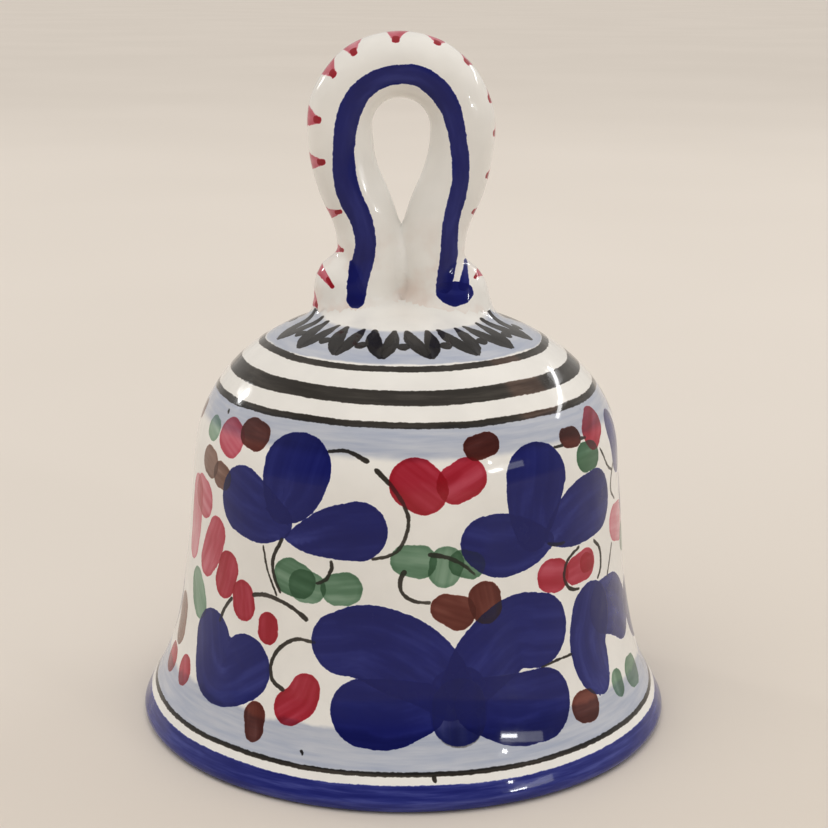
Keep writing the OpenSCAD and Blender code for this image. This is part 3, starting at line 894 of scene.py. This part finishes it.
class Nodes:
    """Short names for making a node tree."""

    def __init__(self, tree):
        self.tree = tree

    def node(self, kind, **settings):
        n = self.tree.nodes.new(kind)
        for key, value in settings.items():
            setattr(n, key, value)
        return n

    def link(self, a, b):
        self.tree.links.new(a, b)

    def put(self, socket, value):
        if isinstance(value, bpy.types.NodeSocket):
            self.link(value, socket)
        elif isinstance(value, tuple) and len(socket.default_value) == 4:
            socket.default_value = (*value, 1)
        else:
            socket.default_value = value

    def fed(self, kind, *values, **settings):
        """A new node with its first inputs given."""
        n = self.node(kind, **settings)
        for socket, value in zip(n.inputs, values):
            self.put(socket, value)
        return n

    def math(self, op, a, b=0.0):
        return self.fed("ShaderNodeMath", a, b, operation=op).outputs[0]

    def plus(self, a, b):
        return self.math("ADD", a, b)

    def minus(self, a, b):
        return self.math("SUBTRACT", a, b)

    def times(self, a, b):
        return self.math("MULTIPLY", a, b)

    def vector(self, op, a, b):
        n = self.node("ShaderNodeVectorMath", operation=op)
        self.put(n.inputs[0], a)
        self.put(n.inputs["Scale" if op == "SCALE" else 1], b)
        return n.outputs[0]

    def joined(self, x, y, z=0.0):
        return self.fed("ShaderNodeCombineXYZ", x, y, z).outputs[0]

    def parts(self, v):
        return tuple(self.fed("ShaderNodeSeparateXYZ", v).outputs)

    def mix(self, share, a, b):
        n = self.node("ShaderNodeMix", data_type="RGBA")
        self.put(n.inputs["Factor"], share)
        self.put(n.inputs[6], a)
        self.put(n.inputs[7], b)
        return n.outputs[2]

    def ramp(self, v, low, high, to_low=0.0, to_high=1.0):
        """Eases from one value to another as v goes from low to high."""
        values = v, low, high, to_low, to_high
        return self.fed("ShaderNodeMapRange", *values, interpolation_type="SMOOTHSTEP").outputs[0]

    def noise(self, where, scale, detail=2.0, rough=0.5):
        n = self.node("ShaderNodeTexNoise")
        for name, value in zip(("Vector", "Scale", "Detail", "Roughness"), (where, scale, detail, rough)):
            self.put(n.inputs[name], value)
        return n.outputs["Fac"]

    def wander(self, where, scale, detail, rough, size):
        """Noise about zero."""
        return self.times(self.minus(self.noise(where, scale, detail, rough), 0.5), size)

    def cells(self, where, scale):
        n = self.node("ShaderNodeTexVoronoi")
        self.put(n.inputs["Vector"], where)
        n.inputs["Scale"].default_value = scale
        return n.outputs["Distance"], n.outputs["Color"]

    def attribute(self, name):
        n = self.node("ShaderNodeAttribute", attribute_name=name)
        x, y, z = self.parts(n.outputs["Vector"])
        return x, y, z, n.outputs["Alpha"], n.outputs["Vector"]


class Shade(Nodes):
    """A material's nodes round its one surface shader."""

    def __init__(self, name):
        self.material = bpy.data.materials.new(name)
        self.material.use_nodes = True
        super().__init__(self.material.node_tree)
        self.tree.nodes.clear()
        self.surface = self.node("ShaderNodeBsdfPrincipled")
        out = self.node("ShaderNodeOutputMaterial")
        self.link(self.surface.outputs["BSDF"], out.inputs["Surface"])

    def position(self):
        """Place on the object in millimetres."""
        n = self.node("ShaderNodeTexCoord")
        return self.vector("SCALE", n.outputs["Object"], 1 / MM)

    def bump(self, height):
        """Relief from a height in millimetres."""
        n = self.node("ShaderNodeBump")
        n.inputs["Strength"].default_value = 1.0
        n.inputs["Distance"].default_value = MM
        self.link(height, n.inputs["Height"])
        self.link(n.outputs["Normal"], self.surface.inputs["Normal"])

    def finish(self, **inputs):
        for name, value in inputs.items():
            self.put(self.surface.inputs[name.replace("_", " ")], value)
        return self.material


def laid(g, total, tint, coat):
    """Absorbance with one more coat of a pigment."""
    return g.vector("ADD", total, g.vector("SCALE", tint, coat))


def brush_coats(g, count, ragged):
    """Absorbance of all the brush strokes together, and how much pigment lies on the surface."""
    total, cover = (0.0, 0.0, 0.0), 0.0
    for k in range(count):
        u, t, w, over, _ = g.attribute(f"shape_{k}")
        _, _, _, load, tint = g.attribute(f"colour_{k}")
        off = g.math("SQRT", g.plus(g.times(u, u), g.times(over, over)))
        edge = g.plus(g.minus(off, w), ragged)
        mask = g.ramp(edge, 0.07, -0.07)
        streak = g.noise(g.joined(g.times(u, 0.62), g.times(t, 0.13), float(k)), 1.0, 2.5, 0.5)
        pool = g.ramp(edge, -0.75, -0.05, 0.0, 0.22)
        coat = g.plus(g.ramp(streak, 0.25, 0.75, 0.56, 1.24), pool)
        coat = g.times(g.times(coat, mask), load)
        total, cover = laid(g, total, tint, coat), g.plus(cover, coat)
    return total, cover


def through_coats(g, ground, total):
    """Colour of the ground seen through pigment, which levels off where coats overlap."""
    size = g.fed("ShaderNodeVectorMath", total, operation="LENGTH").outputs["Value"]
    size = g.math("MAXIMUM", size, 0.001)
    kept = g.minus(1.0, g.math("EXPONENT", g.times(size, -1 / DENSEST)))
    total = g.vector("SCALE", total, g.math("DIVIDE", g.times(kept, -DENSEST), size))
    return g.vector("MULTIPLY", ground, g.joined(*(g.math("EXPONENT", part) for part in g.parts(total))))


def glaze_ground(g, where):
    """Creamy white glaze with slow changes of tone and rare dark specks."""
    tone = g.noise(where, 0.09, 3.0, 0.6)
    ground = g.mix(g.ramp(tone, 0.3, 0.7), tuple(0.955 * np.array(WHITE)), tuple(1.03 * np.array(WHITE)))
    distance, colour = g.cells(where, 0.17)
    pick, size, _ = g.parts(colour)
    speck = g.times(g.ramp(distance, g.ramp(size, 0.0, 1.0, 0.02, 0.05), 0.012), g.ramp(pick, 0.72, 0.78))
    return g.mix(g.times(speck, 0.8), ground, (0.11, 0.09, 0.075))


def gloss(g, where, cover, dull=0.0):
    """Roughness of fired glaze, a little duller where pigment is thick."""
    rough = g.ramp(g.noise(where, 0.35, 3.0), 0.3, 0.75, 0.13, 0.24)
    return g.math("MAXIMUM", g.plus(rough, g.times(cover, 0.035)), dull)


def glaze_relief(g, where, cover):
    """Height of the glaze in millimetres: slow ripple, fine orange peel, and the pigment standing proud."""
    slow = g.times(g.noise(where, 0.13, 2.0), 0.42)
    peel = g.times(g.noise(where, 0.9, 2.0), 0.02)
    return g.plus(g.plus(slow, peel), g.times(cover, 0.012))


def band(g, along, z, half, drift, ragged):
    """Coat of one painted ring round the bell, at a height."""
    off = g.math("ABSOLUTE", g.plus(g.minus(along, float(along_at(z))), drift))
    return g.ramp(g.plus(g.minus(off, half), ragged), 0.09, -0.09)


def zone(g, along, high, low, drift, soft):
    """Share of a wash between two heights, with the softness of its upper and lower edge."""
    place, top, bottom = g.plus(along, drift), float(along_at(high)), float(along_at(low))
    return g.times(g.ramp(place, top - soft[0], top + soft[0]), g.ramp(place, bottom + soft[1], bottom - soft[1]))


# Painted rings: height, half width, and share of the brush's drift up and down
RINGS = [(54.2, 0.52, 1.0), (51.35, 1.12, 1.0), (48.35, 0.43, 1.0), (4.8, 0.28, 0.4)]
# Clear coat of the fired glaze
GLOSS = {"Specular_IOR_Level": 0.06, "Coat_Weight": 0.45, "Coat_Roughness": 0.045}


def bell_glaze(layers):
    """Tin glaze on the bell, with rings, washes, the blue lip and all the brushwork."""
    g = Shade("painted_glaze")
    where = g.position()
    along, z, inside, foot, _ = g.attribute("place")
    outside = g.minus(1.0, g.ramp(inside, 0.2, 0.8))
    x, y, _ = g.parts(where)
    turn = g.math("ARCTAN2", x, g.times(y, -1.0))

    fine = g.wander(where, 1.3, 3.0, 0.6, 0.34)
    drift = g.wander(where, 0.05, 2.0, 0.5, 1.5)
    swept = g.noise(g.vector("MULTIPLY", where, (0.11, 0.11, 1.6)), 1.0, 3.0, 0.6)

    total, cover = brush_coats(g, layers, fine)
    ring = 0.0
    for z_ring, half, waver in RINGS:
        ring = g.math("MAXIMUM", ring, band(g, along, z_ring, half, g.times(drift, waver), fine))
    ring = g.times(ring, g.ramp(swept, 0.3, 0.72, 0.62, 1.25))
    thin = g.times(g.ramp(g.math("ABSOLUTE", g.minus(turn, 0.74)), 0.17, 0.1), 0.62)
    thin = g.times(thin, g.ramp(z, 46, 47))
    ink = g.mix(thin, tuple(absorbance("ink")), tuple(absorbance("umber") * 1.15))
    total = laid(g, total, ink, g.times(ring, outside))

    lip = g.ramp(g.plus(along, g.plus(g.times(drift, 0.45), fine)),
                 float(along_at(LIP_H)) - 0.1, float(along_at(LIP_H)) + 0.1)
    lip = g.times(g.times(lip, outside), g.ramp(swept, 0.28, 0.75, 0.27, 0.62))
    total = laid(g, total, tuple(absorbance("cobalt")), lip)

    patchy = g.wander(where, 0.16, 3.0, 0.65, 3.4)
    wash = zone(g, along, 57.5, 54.6, g.times(patchy, 0.35), (0.5, 0.2))
    wash = g.math("MAXIMUM", wash, zone(g, along, 48.2, 44.6, g.times(patchy, 0.3), (0.2, 0.7)))
    wash = g.math("MAXIMUM", wash, g.times(zone(g, along, 9.6, 3.0, patchy, (0.45, 0.2)), g.ramp(z, 4.75, 4.95)))
    wash = g.times(g.times(wash, outside), g.ramp(swept, 0.2, 0.8, 0.66, 1.0))
    ground = g.mix(wash, glaze_ground(g, where), WASH)
    colour = through_coats(g, ground, total)

    bare = g.times(g.ramp(foot, 0.3, 0.75), g.ramp(g.noise(where, 0.4, 4.0), 0.3, 0.42))
    colour = g.mix(bare, colour, BARE_CLAY)
    finger_marks = g.noise(g.vector("MULTIPLY", where, (0.02, 0.02, 0.55)), 1.0, 2.0)
    marks = g.times(g.times(g.ramp(finger_marks, 0.3, 0.7), 0.35), g.ramp(inside, 0.2, 0.8))
    height = g.plus(glaze_relief(g, where, g.plus(cover, ring)), marks)
    g.bump(height)
    return g.finish(Base_Color=colour, Roughness=gloss(g, where, cover, g.times(bare, 0.85)), **GLOSS)


def handle_glaze(layers):
    """The same white glaze on the handle, pinker and darker in patches towards the bottom of its legs and feet."""
    g = Shade("handle_glaze")
    where = g.position()
    z = g.attribute("height")[0]
    fine = g.wander(where, 1.1, 3.0, 0.6, 0.4)
    total, cover = brush_coats(g, layers, fine)
    ground = glaze_ground(g, where)
    # pinker, darker patches in the colour, which grow towards the bottom of the handle
    low = g.times(g.ramp(z, 74, 62), g.ramp(g.noise(where, 0.2, 3.0), 0.42, 0.68))
    ground = g.mix(g.times(low, 0.5), ground, (0.70, 0.53, 0.45))
    colour = through_coats(g, ground, total)
    g.bump(glaze_relief(g, where, cover))
    return g.finish(Base_Color=colour, Roughness=gloss(g, where, cover), **GLOSS)


def fired_clay():
    """Buff clay pad under the crown, grainy and unglazed."""
    g = Shade("bare_clay")
    where = g.position()
    grain = g.noise(where, 2.2, 5.0, 0.7)
    broad = g.noise(where, 0.3, 3.0)
    colour = g.mix(g.ramp(broad, 0.3, 0.7), (0.52, 0.33, 0.21), (0.62, 0.44, 0.31))
    distance, pick = g.cells(where, 1.1)
    grit = g.times(g.ramp(distance, 0.22, 0.1), g.ramp(g.parts(pick)[0], 0.7, 0.8))
    colour = g.mix(g.times(grit, 0.7), colour, (0.24, 0.15, 0.10))
    g.bump(g.plus(g.times(grain, 0.16), g.times(broad, 0.3)))
    return g.finish(Base_Color=colour, Roughness=g.ramp(grain, 0.3, 0.7, 0.78, 0.95))


def scaled_wire():
    """Steel wire that went through the kiln: dark scale with rusty patches."""
    g = Shade("fired_wire")
    where = g.position()
    scale = g.noise(where, 1.4, 4.0, 0.65)
    rust = g.ramp(g.noise(where, 0.7, 4.0, 0.7), 0.5, 0.66)
    colour = g.mix(g.ramp(scale, 0.3, 0.7), (0.055, 0.05, 0.048), (0.14, 0.125, 0.115))
    colour = g.mix(rust, colour, (0.20, 0.085, 0.035))
    g.bump(g.times(scale, 0.07))
    return g.finish(Base_Color=colour, Metallic=g.minus(0.85, g.times(rust, 0.7)),
                    Roughness=g.ramp(scale, 0.3, 0.7, 0.42, 0.7))


def drawn_wire():
    """Bright iron wire, dulled by handling, with fine marks along it."""
    g = Shade("clapper_wire")
    where = g.position()
    lines = g.noise(g.vector("MULTIPLY", where, (9.0, 9.0, 0.35)), 1.0, 2.0)
    dull = g.noise(where, 0.5, 4.0, 0.6)
    colour = g.mix(g.ramp(dull, 0.35, 0.7), (0.36, 0.345, 0.32), (0.21, 0.19, 0.165))
    g.bump(g.times(lines, 0.02))
    return g.finish(Base_Color=colour, Metallic=0.95, Roughness=g.ramp(dull, 0.3, 0.7, 0.3, 0.52))


def crimped_tube():
    """Small plain metal collars, with patches of dark tarnish and dents in their relief."""
    g = Shade("collar_metal")
    where = g.position()
    tarnish = g.ramp(g.noise(where, 1.2, 4.0, 0.65), 0.38, 0.68)
    colour = g.mix(tarnish, (0.34, 0.32, 0.285), (0.15, 0.13, 0.105))
    dents = g.noise(where, 1.9, 2.0)
    g.bump(g.times(dents, 0.12))
    return g.finish(Base_Color=colour, Metallic=g.minus(1.0, g.times(tarnish, 0.3)),
                    Roughness=g.ramp(tarnish, 0.0, 1.0, 0.3, 0.52))


def bead_glaze():
    """White bead with a cobalt ring round its middle and bare clay at the hole's edges."""
    g = Shade("bead_glaze")
    where = g.position()
    x, y, z = g.parts(where)
    middle = float((bead_box[0].z + bead_box[1].z) / 2)
    fine = g.wander(where, 0.9, 3.0, 0.6, 0.9)
    off = g.plus(g.math("ABSOLUTE", g.minus(z, middle)), fine)
    coat = g.times(g.ramp(off, 1.55, 1.35), g.ramp(g.noise(where, 0.6, 3.0), 0.3, 0.7, 0.55, 0.95))
    total = g.vector("SCALE", tuple(absorbance("cobalt")), coat)
    colour = through_coats(g, glaze_ground(g, where), total)
    reach = g.math("SQRT", g.plus(g.times(x, x), g.times(y, y)))
    bare = g.ramp(g.plus(reach, fine), 1.75, 1.35)
    colour = g.mix(bare, colour, BARE_CLAY)
    g.bump(g.times(g.noise(where, 0.2, 2.0), 0.3))
    return g.finish(Base_Color=colour, Roughness=g.math("MAXIMUM", 0.16, g.times(bare, 0.8)),
                    Specular_IOR_Level=0.2, Coat_Weight=0.8, Coat_Roughness=0.05)


def dress_hardware():
    """Gives each CAD node that stays its finish."""
    finishes = {
        "hanger_pad": fired_clay(), "hanger_staple": scaled_wire(), "link_ring": scaled_wire(),
        "clapper_wire": drawn_wire(), "upper_collar": crimped_tube(), "lower_collar": crimped_tube(),
        "clapper_bead": bead_glaze(),
    }
    for name, material in finishes.items():
        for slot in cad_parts[name].material_slots:
            slot.material = material


# ---------------------------------------------------------------- stage


def floor():
    """A wide, pale table top, with painted shade that darkens and browns it towards the front right."""
    g = Shade("pale_table")
    where = g.position()
    tone = g.noise(where, 0.0035, 2.0)
    colour = g.mix(g.ramp(tone, 0.3, 0.7), (0.725, 0.668, 0.606), (0.75, 0.692, 0.63))
    x, y, _ = g.parts(where)
    # painted shade: the table's colour darkens and browns towards the front right, where less light falls
    painted_shade = g.ramp(g.minus(g.times(x, 0.5), y), -120.0, 190.0, 0.0, 0.55)
    colour = g.mix(painted_shade, colour, (0.69, 0.605, 0.505))
    g.bump(g.times(g.noise(where, 0.6, 3.0), 0.02))
    material = g.finish(Base_Color=colour, Roughness=0.62, Specular_IOR_Level=0.25)
    radii, columns = (0.2, 0.6, 1.6, 4.0, 10.0, 24.0), 64  # in metres
    a = np.linspace(0, 2 * math.pi, columns, endpoint=False)
    points = [(0, 0, 0)] + [(r * math.cos(t), r * math.sin(t), 0) for r in radii for t in a]
    faces = [(0, 1 + k, 1 + (k + 1) % columns) for k in range(columns)]
    for ring in range(len(radii) - 1):
        o = 1 + ring * columns
        for k in range(columns):
            after = (k + 1) % columns
            faces.append((o + k, o + columns + k, o + columns + after, o + after))
    mesh = bpy.data.meshes.new("table")
    mesh.from_pydata(points, [], faces)
    mesh.materials.append(material)
    obj = in_scene("table", mesh)


LIGHT_AIM_Z = 60
DAYLIGHT, LAMPLIGHT = (0.97, 0.985, 1.0), (1.0, 1.0, 1.0)
# Name, azimuth and elevation in degrees, distance in metres, width and height in metres, watts, colour
AREA_LIGHTS = [
    ("window_right", 54, 11.5, 1.2, (0.42, 0.10), 0.6, DAYLIGHT),
    ("pane_right", 48, 11, 1.2, (0.15, 0.035), 0.9, DAYLIGHT),
    ("lamp_right", 46, 18.5, 1.2, (0.04, 0.045), 0.42, LAMPLIGHT),
    ("window_behind", 124, 28, 1.1, (0.66, 0.04), 1.6, LAMPLIGHT),
    ("pane_left", -124, 22, 1.1, (0.09, 0.12), 1.0, LAMPLIGHT),
]
CAMERA_PLACE = (1.28, -234.7, 103.1)
CAMERA_PITCH, CAMERA_ROLL, LENS, SENSOR = 14.35, 0.37, 73.9, 36.0  # degrees, degrees, and millimetres


def face(obj, place, back, right, up):
    """Sets a light or camera at a place in millimetres, with its back, right and up directions."""
    m = Matrix.Identity(4)
    for row in range(3):
        m[row][0], m[row][1], m[row][2], m[row][3] = right[row], up[row], back[row], place[row] * MM
    obj.matrix_world = m


def area_light(name, az, elevation, distance, size, power, colour):
    """A soft light that looks at the bell from an azimuth and elevation in degrees, at a distance in metres."""
    data = bpy.data.lights.new(name, "AREA")
    data.shape, data.size, data.size_y, data.energy, data.color = "RECTANGLE", size[0], size[1], power, colour
    obj = in_scene(name, data)
    a, e = math.radians(az), math.radians(elevation)
    back = np.array([math.sin(a) * math.cos(e), -math.cos(a) * math.cos(e), math.sin(e)])
    right = np.array([math.cos(a), math.sin(a), 0.0])
    face(obj, back * distance / MM + [0, 0, LIGHT_AIM_Z], back, right, np.cross(back, right))


def room():
    """Pale surroundings, dim where the room lies behind the photographer and bright overhead."""
    world = bpy.data.worlds.new("room")
    world.use_nodes = True
    g = Nodes(world.node_tree)
    _, y, z = g.parts(g.node("ShaderNodeTexCoord").outputs["Generated"])
    overhead, skirting = g.ramp(z, 0.55, 0.95, 0.0, 1.0), g.ramp(z, 0.0, 0.3, 0.5, 0.0)
    around = g.ramp(y, -0.75, 0.1, 0.15, 0.77)
    light = g.math("MAXIMUM", g.math("MAXIMUM", overhead, around), skirting)
    seen = g.node("ShaderNodeLightPath").outputs["Is Camera Ray"]
    back = g.tree.nodes["Background"]
    g.link(g.plus(g.times(light, g.minus(1.0, seen)), g.times(seen, 0.90)), back.inputs["Strength"])
    g.link(g.mix(seen, (0.80, 0.76, 0.71), (0.78, 0.70, 0.60)), back.inputs["Color"])
    bpy.context.scene.world = world


def lights():
    """Soft skylight from above, and the windows and lamps whose reflections show on the glaze."""
    sun = bpy.data.lights.new("sky", "SUN")
    sun.energy, sun.angle, sun.color = 1.29, math.radians(80), (1.0, 0.985, 0.965)
    obj = in_scene("sky", sun)
    obj.rotation_euler = (math.radians(30), math.radians(-14), 0)
    obj.visible_glossy = False
    for settings in AREA_LIGHTS:
        area_light(*settings)
    bpy.context.scene.view_settings.view_transform = "Standard"


def camera():
    """The photograph's view: in front, a little above, and rolled by a third of a degree."""
    data = bpy.data.cameras.new("camera")
    data.lens, data.sensor_width, data.clip_start, data.clip_end = LENS, SENSOR, 0.01, 60.0
    obj = in_scene("camera", data)
    pitch, roll = math.radians(CAMERA_PITCH), math.radians(CAMERA_ROLL)
    forward = np.array([0, math.cos(pitch), -math.sin(pitch)])
    right, up = np.array([1.0, 0, 0]), np.array([0, math.sin(pitch), math.cos(pitch)])
    right, up = math.cos(roll) * right + math.sin(roll) * up, math.cos(roll) * up - math.sin(roll) * right
    face(obj, CAMERA_PLACE, -forward, right, up)
    bpy.context.scene.camera = obj


bell_body()
handle()
dress_hardware()
floor()
room()
lights()
camera()
